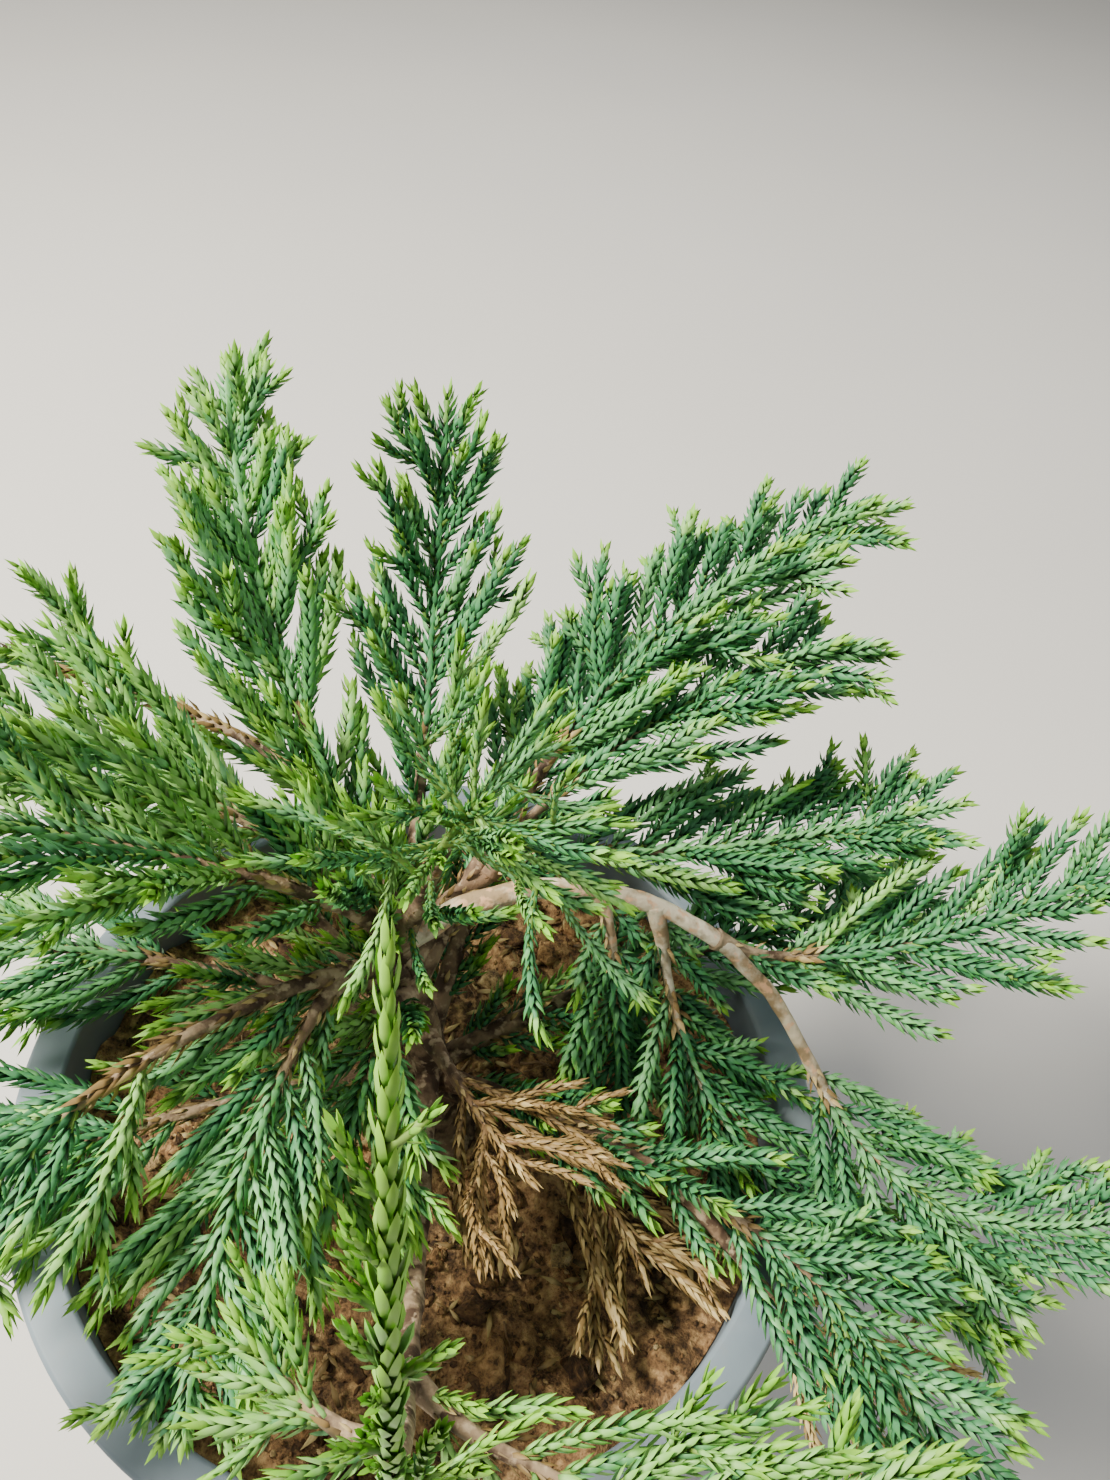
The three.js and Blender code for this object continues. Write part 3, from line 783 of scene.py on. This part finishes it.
def smoothLine(path, spacing):
    whole = np.vstack([2 * path[0] - path[1], path, 2 * path[-1] - path[-2]])
    count = max(3, int(pathLength(path) / spacing))
    place = np.linspace(0, len(path) - 1, count + 1)
    i = np.minimum(place.astype(int), len(path) - 2)
    t = (place - i)[:, None]
    a, b, c, d = whole[i], whole[i + 1], whole[i + 2], whole[i + 3]
    bends = (2 * a - 5 * b + 4 * c - d) * t ** 2 + (3 * b - a - 3 * c + d) * t ** 3
    line = 0.5 * (2 * b + (c - a) * t + bends)
    tangent = unit(np.gradient(line, axis=0))
    mean = unit(line[-1] - line[0])
    guide = np.cross(mean, (0, 0, 1) if abs(mean[2]) < 0.8 else (1, 0, 0))
    side = unit(guide - (tangent * guide).sum(1, keepdims=True) * tangent)
    return line, tangent, side, np.cross(side, tangent)


def evened(path, step):  # the same path with points at even distances
    along = np.concatenate([[0], np.cumsum(np.linalg.norm(np.diff(path, axis=0), axis=1))])
    places = np.linspace(0, along[-1], max(3, int(along[-1] / step)))
    return np.stack([np.interp(places, along, path[:, i]) for i in range(3)], 1)


def tubeFaces(rings, sides):
    r, s = np.meshgrid(np.arange(rings - 1), np.arange(sides), indexing="ij")
    a, b = r * sides + s, r * sides + (s + 1) % sides
    return np.stack([a, a + sides, b + sides, b], -1).reshape(-1, 4)


def addTube(shapes, line, side, across, radii, sides, slot):
    turn = 2 * np.pi * np.arange(sides) / sides
    ring = np.cos(turn)[None, :, None] * side[:, None] + np.sin(turn)[None, :, None] * across[:, None]
    radii = radii if np.ndim(radii) == 2 else np.repeat(np.asarray(radii)[:, None], sides, 1)
    points = line[:, None] + ring * radii[:, :, None]
    start = shapes.count
    shapes.add(points, tubeFaces(len(line), sides), slot)
    last = (len(line) - 1) * sides
    shapes.addTo(start, [np.arange(sides), last + np.arange(sides)[::-1]], np.ravel(slot)[[0, -1]])


# Bark

barkLook = {
    "trunkSides": 56, "boughSides": 18, "step": 0.8, "ridge": 0.5, "boughRidge": 0.22,
    "onSpray": 0.35, "endRadius": 0.75, "swell": 0.9, "swellLength": 4, "even": 8, "smoothFoot": 2,
    "pale": ("right_front", "right_hanging", "right_low"),
    # fineness of the ridges around a limb, their twist, and their fineness along it
    "trunkGrain": (0.45, 0.03, 0.16), "boughGrain": (0.5, 0.02, 0.22), "knotGrain": (0, 0.11, 0),
    "furrowRise": 2, "furrowDrop": 0.7, "knots": 0.8, "seeds": {"trunk": 4, "boughs": 10, "knots": 50},
}


def barkFinish(name, furrow, ridge, worn, flake):
    finish = Finish(name)
    strands = finish.noise(170, 6)
    patches = finish.noise(34, 5)
    young = finish.fade(patches, 0.38, 0.6, shade(ridge), shade(worn))
    old = finish.fade(strands, 0.42, 0.56, shade(furrow), young)
    flakes = finish.steps(finish.noise(380, 4), (0.54, 0), (0.64, 1))
    finish.colour(finish.blend(flakes * 0.8, old, shade(flake)))
    finish.rough(0.72 + 0.2 * strands)
    finish.bump(strands + 0.6 * finish.noise(600, 4), 0.0007, 1)
    return finish.material


def barkRidges(turn, along, grain, seed):
    around, twist, lengthwise = barkLook[grain]
    return relief(turn * around + along * twist, along * lengthwise, seed)


def makeBark(limbs, axes):
    bark = barkFinish("bark", "4a3626", "7d634a", "a58e70", "bfa888")
    pale = barkFinish("barkPale", "9a8260", "d0be9c", "e8dcc0", "e6b488")
    stem = Shapes()
    line, _, side, across = smoothLine(limbs["trunk"]["path"], barkLook["step"])
    share = np.linspace(0, 1, len(line))
    height = share * trunk["run"][4]
    radius = trunk["radius"] + (trunk["tipRadius"] - trunk["radius"]) * share
    radius = radius + trunk["flare"] * np.exp(-height / trunk["flareHeight"])
    turn = np.arange(barkLook["trunkSides"])[None]
    seeds = barkLook["seeds"]
    ridges = np.abs(barkRidges(turn, height[:, None], "trunkGrain", seeds["trunk"]))
    ridges = barkLook["ridge"] * (ridges * barkLook["furrowRise"] - barkLook["furrowDrop"])
    line[0, 2] = soil["level"] + growth["gap"]
    radii = radius[:, None] + ridges * (height[:, None] > barkLook["smoothFoot"])
    addTube(stem, line, side, across, radii, barkLook["trunkSides"], 0)
    piece = stem.build("trunk_bark", [bark])
    finishPiece(piece, ["trunk"])
    limbShapes = Shapes()
    for place, name in enumerate(boughs):
        limb, axis = limbs[name], axes[name]
        own = pathLength(limb["path"])
        path = np.vstack([limb["path"], axis[2:2 + int(barkLook["onSpray"] * len(axis))]])
        line, _, side, across = smoothLine(evened(path, barkLook["even"]), barkLook["step"])
        along = np.linspace(0, 1, len(line)) * pathLength(path)
        root, tip = limb["radii"]
        beyond = np.clip((along - own) / (pathLength(path) - own + 0.01), 0, 1)
        radius = root + (tip - root) * np.clip(along / own, 0, 1)
        radius = radius + barkLook["swell"] * np.exp(-along / barkLook["swellLength"])
        radius = radius + (barkLook["endRadius"] - tip) * beyond
        turn = np.arange(barkLook["boughSides"])[None]
        ridges = barkRidges(turn, along[:, None], "boughGrain", seeds["boughs"] + place)
        knots = barkRidges(turn, along[:, None], "knotGrain", seeds["knots"] + place)
        radii = radius[:, None] + barkLook["boughRidge"] * (ridges + barkLook["knots"] * knots)
        slot = 1 if name in barkLook["pale"] else 0
        addTube(limbShapes, line, side, across, radii, barkLook["boughSides"], slot)
    piece = limbShapes.build("bough_bark", [bark, pale])
    finishPiece(piece, ["bough_" + name for name in boughs])


# Needles: three-sided blades, flat inside and keeled outside, in whorls of three

needle = {
    "length": 7.3, "width": 1.85, "thickness": 1.3, "pitch": 1.75, "angle": 31, "tipAngle": 20,
    "bare": 1.2, "freshReach": 9, "incurve": 0.5, "hubPitch": 1.15, "sharpest": 100, "hollow": 0.08,
    "alongScatter": 0.35, "turnScatter": 0.12, "sizeScatter": (0.85, 1.12), "tipZone": 9, "rootZone": 12,
    "kept": 0.72, "leastAngle": 6, "mostAngle": 70, "rootSize": 0.66, "tipShrink": 0.15,
    "angleScatter": 5, "tipAngleScatter": 4, "closingBend": 1.3, "seat": 0.6, "boughSeat": 0.95,
    "whorl": 3, "rollRange": 6, "axisBare": 1, "lineStep": 1,
    "hubSizes": (0.55, 1.5, 0.4),  # least size in the rosette, its rise along a shoot, and where it starts
}
# Cross sections from root to tip: place along the needle, half width, depth of the keel, incurve
sections = {
    "plain": [(0, 0.3, 0.25, 0), (0.45, 0.5, 0.5, 0.1)],
    "short": [(0, 0.4, 0.35, 0), (0.5, 0.62, 0.62, 0.12)],
    "fine": [(0, 0.28, 0.22, 0), (0.28, 0.48, 0.46, 0.02), (0.66, 0.42, 0.4, 0.36)],
}
tones = {  # outer face, inner face (also painted as a sheen band on the outer face), painted shade at the root, and tip
    "deep": ("1d5b35", "549c64", "0b2914", "449638"),
    "mid": ("2e7638", "84c482", "13381a", "5eae34"),
    "fresh": ("4e9630", "aedc82", "1f4a14", "82c634"),
    "lime": ("66aa20", "96c648", "2e6016", "98d22c"),
    "straw": ("b4985a", "d0b880", "6e5630", "c4aa6c"),
    "rust": ("7c6234", "9c804e", "463820", "8e7442"),
}
toneOf = {name: place for place, name in enumerate(tones)}
toning = {
    "stray": 0.12, "reachScatter": (0.5, 1.2), "limePart": 0.55, "openTip": 0.3, "deadLost": 0.05,
    "boughStraw": 0.6, "oldStraw": 0.5, "oldLost": 0.35, "tintScatter": 0.25,
    "freshEdge": (0.7, 0.6), "limeEdge": (0.6, 0.8),  # least reach, and how much a draw adds to it
}


def needleFinish(name, face, bloomAndSheen, root, tip):
    finish = Finish(name)
    drift = finish.noise(55, 2)
    upward = finish.node("Attribute", {"attribute_name": "tipward"}, output=2)
    tint = finish.node("Attribute", {"attribute_name": "tint"}, output=2)
    body = finish.fade(0.45 * tint + drift, 0.2, 0.8, shade(face), shade(bloomAndSheen))
    body = finish.blend(0.55, shade(face), body)
    # A pale band across the middle of each needle: the glaucous bloom, brightened further as a painted
    # sheen.
    middle = finish.steps(upward, (0.18, 0), (0.42, 0.42), (0.8, 0.08))
    body = finish.blend(middle, body, shade(bloomAndSheen))
    body = finish.blend(finish.steps(upward, (0.55, 0), (1, 0.8)), body, shade(tip))
    # The root end of each needle is painted shade, dark where the needles crowd on the shoot.
    finish.colour(finish.blend(finish.steps(upward, (0, 1), (0.4, 0)), body, shade(root)))
    finish.rough(0.48 + 0.2 * drift)
    return finish.material


def makeNeedleMaterials():  # two for each tone: outer faces and inner faces
    made = []
    for name, (outer, inner, root, tip) in tones.items():
        made.append(needleFinish("needle_" + name, outer, inner, root, tip))
        made.append(needleFinish("needle_" + name + "_inside", inner, outer, root, tip))
    return made


def addNeedles(shapes, form, base, along, outward, size, tone, tint):
    # base, along and outward are arrays of points and directions, one for each needle
    rows = []
    for height, half, deep, bend in sections[form]:
        bend = bend * needle["incurve"]
        inner = -needle["hollow"] - bend
        rows += [(-half, inner, height), (half, inner, height), (0, deep - bend, height)]
    rows.append((0, -needle["incurve"], 1))
    template = np.array(rows) * (needle["width"], needle["thickness"], needle["length"])
    width = np.cross(outward, along)
    own = (template[None, :, 0, None] * width[:, None] + template[None, :, 1, None] * outward[:, None]
           + template[None, :, 2, None] * along[:, None]) * size[:, None, None] + base[:, None]
    count, tip, start = len(base), len(rows) - 1, shapes.count
    first = np.arange(count)[:, None, None] * len(rows)
    sides, slots = [], []
    for level in range(len(sections[form]) - 1):
        low = 3 * level
        sides += [(low + i, low + (i + 1) % 3, low + 3 + (i + 1) % 3, low + 3 + i) for i in range(3)]
        slots += [1, 0, 0]
    slots = (2 * tone[:, None] + np.array(slots)[None]).ravel()
    upward = np.resize(np.array(rows)[:, 2], (count, len(rows)))
    shapes.add(own, (first + np.array(sides)[None]).reshape(-1, 4), slots,
               tipward=upward, tint=np.repeat(tint, len(rows)))
    low = tip - 3
    ends = np.array([(low, low + 1, tip), (low + 1, low + 2, tip), (low + 2, low, tip), (0, 2, 1)])
    slots = (2 * tone[:, None] + np.array([1, 0, 0, 0])[None]).ravel()
    shapes.addTo(start, (first + ends[None]).reshape(-1, 3), slots)


# Pitch, size and opening of the needles on the leader's stem and on its side shoots
leader = {
    "stem": (2.1, 1.15, 0.55), "side": (1.2, 0.68, 0.8), "taper": 45, "tipSize": 0.35,
    "stemLime": 0.8, "sideLime": 0.35,
}
oldShare = {"left_back": 0.6, "left_front": 0.3}  # how far along a spray's axis is dead
dead = {
    "straw": {"dry_centre": 0.12, "dry_inner": 0.5, "dry_right": 0.8}, "closed": 0.7,
    "size": {"dry_centre": 0.75, "dry_inner": 0.9, "dry_right": 0.9},
    "onBough": 0.3, "boughFrom": 0.25, "boughSize": 0.75, "axisShare": 0.1,
}

# Each spray's look: shares of deep, mid and fresh shoots, reach of the lime tips, and the needles'
# openness, size and pitch
sprayLooks = {
    # The left sprays lean to fresh tones: their own yellow-green, lightened further as painted light on
    # the lit side.
    "left": ((0.08, 0.4, 0.52), 1, 1.02, 0.88, 0.82),
    # The hanging lower sprays take more of the deep tone as painted shade under the sprays above.
    "hanging": ((0.42, 0.4, 0.18), 0.9, 0.95, 0.88, 0.82),
    # The right and back sprays are mostly the deep tone: their own blue-green, darkened further as painted
    # shade on that side.
    "right": ((0.66, 0.3, 0.04), 0.6, 1.2, 0.78, 0.84),
    "back": ((0.72, 0.26, 0.02), 0.8, 1.1, 0.8, 0.94),
    "front": ((0, 0.15, 0.85), 1.3, 0.9, 0.8, 0.88),
    "top": ((0.15, 0.5, 0.35), 0.8, 0.82, 0.74, 1),
}


def lookOf(name):
    if name == "front" or name.startswith("front_side"):
        return sprayLooks["front"]
    if name in ("left_front", "front_left", "left_low", "front_left_low"):
        return sprayLooks["hanging"]
    for word in ("top", "right", "left", "back"):
        if word in name:
            return sprayLooks[word]
    return sprayLooks["left"]


def clothe(shoot, draws):
    name, order = shoot["spray"], shoot["order"]
    bough = boughs[name]
    line, tangent, side, across = smoothLine(shoot["path"], needle["lineStep"])
    total = pathLength(line)
    bare = needle["bare" if order else "axisBare"]
    _, _, openness, scale, closeness = lookOf(name)
    pitch = needle["hubPitch" if bough.get("whorled") else "pitch"] * closeness
    if name == "front":
        pitch, larger, wider = leader["side" if order else "stem"]
    count = int((total - bare) / pitch) + 1
    scatter, whorl = needle["alongScatter"], needle["whorl"]
    along = np.repeat(total - pitch * np.arange(count)[::-1], whorl)
    along = along + draws.uniform(-scatter, scatter, len(along))
    place = np.clip(along / total, 0, 1) * (len(line) - 1)
    i = np.minimum(place.astype(int), len(line) - 2)
    t = (place - i)[:, None]

    def between(values):
        return values[i] * (1 - t) + values[i + 1] * t

    k = np.repeat(np.arange(count), whorl)
    turn = k * math.pi / whorl + np.tile(np.arange(whorl), count) * 2 * math.pi / whorl
    turn = turn + draws.uniform(0, needle["rollRange"])
    turn = turn + draws.normal(0, needle["turnScatter"], len(turn))
    out = between(side) * np.cos(turn)[:, None] + between(across) * np.sin(turn)[:, None]
    toTip = total - along
    closing = np.clip(1 - toTip / needle["tipZone"], 0, 1) ** needle["closingBend"]
    angle = needle["angle"] + (needle["tipAngle"] - needle["angle"]) * closing
    loose = needle["angleScatter"] + needle["tipAngleScatter"] * closing
    angle = angle * openness + draws.normal(0, 1, len(turn)) * loose
    grown = needle["rootSize"] + (1 - needle["rootSize"]) * np.clip(along / needle["rootZone"], 0, 1)
    size = scale * grown * (1 - needle["tipShrink"] * closing)
    size = size * draws.uniform(*needle["sizeScatter"], len(turn))
    if bough.get("whorled"):
        least, rise, start = needle["hubSizes"]
        size *= least + (1 - least) * np.clip(along / total * rise - start, 0, 1)
    if name == "front":
        size, angle = size * larger, angle * wider
        if not order:
            size *= 1 - leader["tipSize"] * np.clip(1 - toTip / leader["taper"], 0, 1)
    if bough.get("dry"):
        angle, size = angle * dead["closed"], size * dead["size"][name]
    angle = np.radians(np.clip(angle, needle["leastAngle"], needle["mostAngle"]))[:, None]
    ahead = unit(between(tangent))
    out = unit(out - (out * ahead).sum(1, keepdims=True) * ahead)
    pointing = ahead * np.cos(angle) + out * np.sin(angle)
    outward = out * np.cos(angle) - ahead * np.sin(angle)
    rootRadius, tipRadius = shoot["radii"]
    stem = (rootRadius + (tipRadius - rootRadius) * along / total)[:, None]
    base = between(line) + out * stem * needle["seat" if order >= 0 else "boughSeat"]
    tone, keep = toneNeedles(name, order, along, total, closing, draws)
    if order < 0:
        size = size * dead["boughSize"]
    tint = draws.uniform(-1, 1) + draws.normal(0, toning["tintScatter"], len(turn))
    return [part[keep] for part in (base, pointing, outward, size, tone, tint)]


def toneNeedles(name, order, along, total, closing, draws):  # the tone of each, and whether it stays
    count, toTip = len(along), total - along
    shares, limeShare = lookOf(name)[:2]
    tone = np.full(count, draws.choice(3, p=shares))
    stray = draws.random(count)
    tone[stray < toning["stray"]] = toneOf["mid"]
    limeReach = needle["freshReach"] * limeShare * draws.uniform(*toning["reachScatter"])
    if name == "front":
        limeReach += leader["sideLime" if order else "stemLime"] * total
    for key, part, edge in (("fresh", 1, "freshEdge"), ("lime", toning["limePart"], "limeEdge")):
        least, more = toning[edge]
        tone[toTip < limeReach * part * (least + more * stray)] = toneOf[key]
    keep = (stray < needle["kept"]) | (closing < toning["openTip"]) | (name == "front")
    if boughs[name].get("dry"):
        straw = draws.random(count) < dead["straw"][name]
        return np.where(straw, toneOf["straw"], toneOf["rust"]), stray > toning["deadLost"]
    if order < 0:
        keep = (draws.random(count) < dead["onBough"]) & (along > dead["boughFrom"] * total)
        return np.where(stray < toning["boughStraw"], toneOf["straw"], toneOf["rust"]), keep
    if order == 0:
        old = along < oldShare.get(name, dead["axisShare"]) * total
        tone[old] = np.where(stray < toning["oldStraw"], toneOf["straw"], toneOf["rust"])[old]
        keep &= ~old | (stray > toning["oldLost"])
    return tone, keep


regions = {
    "left": ["left", "left_high", "left_back"],
    "left_low": ["left_front", "front_left", "left_low", "front_left_low", "back_left_low"],
    "front": ["front", "front_side_left", "front_side_right", "front_inner", "top"],
    "right": ["right_front", "right_hanging", "right_low", "right", "front_right_low"],
    "right_back": ["right_back", "right_back_high", "back_right_low"],
    "back": ["back", "back_low", "back_left", "back_right"],
    "dry": ["dry_centre", "dry_inner", "dry_right"],
}
forms = {"front": "fine", "right": "short", "right_back": "short", "back": "short"}  # others are plain
twigLook = {"sides": 6, "step": 4, "brownShare": 0.32, "seed": 100}


def twigFinish(name, code, other):
    finish = Finish(name)
    drift = finish.noise(90, 4)
    finish.colour(finish.fade(drift, 0.35, 0.65, shade(code), shade(other)))
    finish.rough(0.5 + 0.3 * drift)
    finish.bump(finish.noise(600, 3), 0.0002, 0.6)
    return finish.material


def makeFoliage(shoots, needleMaterials):
    twigMaterials = [
        twigFinish("twigBrown", "75603f", "9a8560"), twigFinish("twigGreen", "4f7a2c", "83a344"),
        twigFinish("twigDead", "8a6a46", "b8996a"),
    ]
    total = 0
    for region, names in regions.items():
        blades, twigs = Shapes(), Shapes()
        for name in names:
            draws = np.random.default_rng(twigLook["seed"] + list(boughs).index(name))
            parts = []
            for shoot in shoots:
                if shoot["spray"] != name:
                    continue
                parts.append(clothe(shoot, draws))
                if shoot["order"] < 0:
                    continue
                line, _, side, across = smoothLine(shoot["path"], twigLook["step"])
                share = np.linspace(0, 1, len(line))
                root, tip = shoot["radii"]
                brown = twigLook["brownShare"] if shoot["order"] == 0 else 0
                slot = np.where(share[:-1] < brown, 0, 1)
                slot = np.full(len(slot), 2) if boughs[name].get("dry") else slot
                slot = np.repeat(slot, twigLook["sides"])
                addTube(twigs, line, side, across, root + (tip - root) * share, twigLook["sides"], slot)
            values = [np.concatenate(p) for p in zip(*parts)]
            total += len(values[0])
            addNeedles(blades, forms.get(region, "plain"), *values)
        nodes = ["foliage_" + name for name in names]
        piece = blades.build("needles_" + region, needleMaterials, needle["sharpest"])
        finishPiece(piece, nodes)
        piece = twigs.build("twigs_" + region, twigMaterials)
        finishPiece(piece, nodes)
    print("needles", total)


# Floor, light and camera, in metres

studio = {"floor": 16, "aim": (0, 0, 0.25), "sky": (0.9, 0.95, 1, 1), "skyStrength": 0.25}
lamps = {
    "mainLamp": dict(place=(-1.0, -0.12, 1.4), size=0.4, power=80, colour=(1, 0.95, 0.84)),
    "rightLamp": dict(place=(1.2, 0.4, 1.3), size=1.2, power=5, colour=(1, 1, 1)),
    "backLamp": dict(place=(0.1, 1.4, 1.2), size=1.0, power=6, colour=(1, 1, 1)),
}


def makeStage():
    deselectAll()
    bpy.ops.mesh.primitive_plane_add(size=studio["floor"], location=(0, 0, 0))
    floor = bpy.context.object
    floor.name = "floor"
    finish = Finish("paleFloor")
    finish.colour(finish.blend(finish.noise(3, 2), shade("d9d6d0"), shade("e2dfd9")))
    finish.rough(0.9)
    floor.data.materials.append(finish.material)
    for name, look in lamps.items():
        bpy.ops.object.light_add(type="AREA", location=look["place"])
        lamp = bpy.context.object
        lamp.name = name
        lamp.data.size = look["size"]
        lamp.data.energy = look["power"]
        lamp.data.color = look["colour"]
        x, y, z = np.array(studio["aim"]) - look["place"]
        lamp.rotation_euler = (math.atan2(math.hypot(x, y), -z), 0, math.atan2(x, -y) + math.pi)
    world = bpy.data.worlds.new("studio")
    world.use_nodes = True
    sky = world.node_tree.nodes["Background"]
    sky.inputs["Color"].default_value = studio["sky"]
    sky.inputs["Strength"].default_value = studio["skyStrength"]
    bpy.context.scene.world = world
    print("floor and light made")


# Focal length and height of the picture are in the picture's own pixels
camera = {
    "place": (0.022, -0.1335, 0.4792), "down": 48, "tilt": -8, "focal": 1112, "tall": 1480,
    "sensor": 36, "nearest": 0.01,
}


def makeCamera():
    lens = bpy.data.cameras.new("camera")
    lens.sensor_fit = "VERTICAL"
    lens.sensor_height = camera["sensor"]
    lens.lens = camera["focal"] / camera["tall"] * lens.sensor_height
    lens.clip_start = camera["nearest"]
    down, tilt = math.radians(camera["down"]), math.radians(camera["tilt"])
    ahead = np.array([0, math.cos(down), -math.sin(down)])
    right = np.array([1.0, 0, 0])
    up = np.cross(right, ahead)
    rightTilted = math.cos(tilt) * right - math.sin(tilt) * up
    upTilted = math.sin(tilt) * right + math.cos(tilt) * up
    eye = bpy.data.objects.new("camera", lens)
    bpy.context.scene.collection.objects.link(eye)
    rows = np.eye(4)
    rows[:3] = np.stack([rightTilted, upTilted, -ahead, camera["place"]], 1)
    eye.matrix_world = Matrix(rows.tolist())
    bpy.context.scene.camera = eye
    print("camera made")


makeCamera()
makeStage()
makePot()
makeSoil()
makeCrumbs()
madeNeedles = makeNeedleMaterials()
makeLitter(madeNeedles)
grownLimbs = growLimbs()
sprayAxes, grownShoots = growShoots(grownLimbs)
makeBark(grownLimbs, sprayAxes)
makeFoliage(grownShoots, madeNeedles)
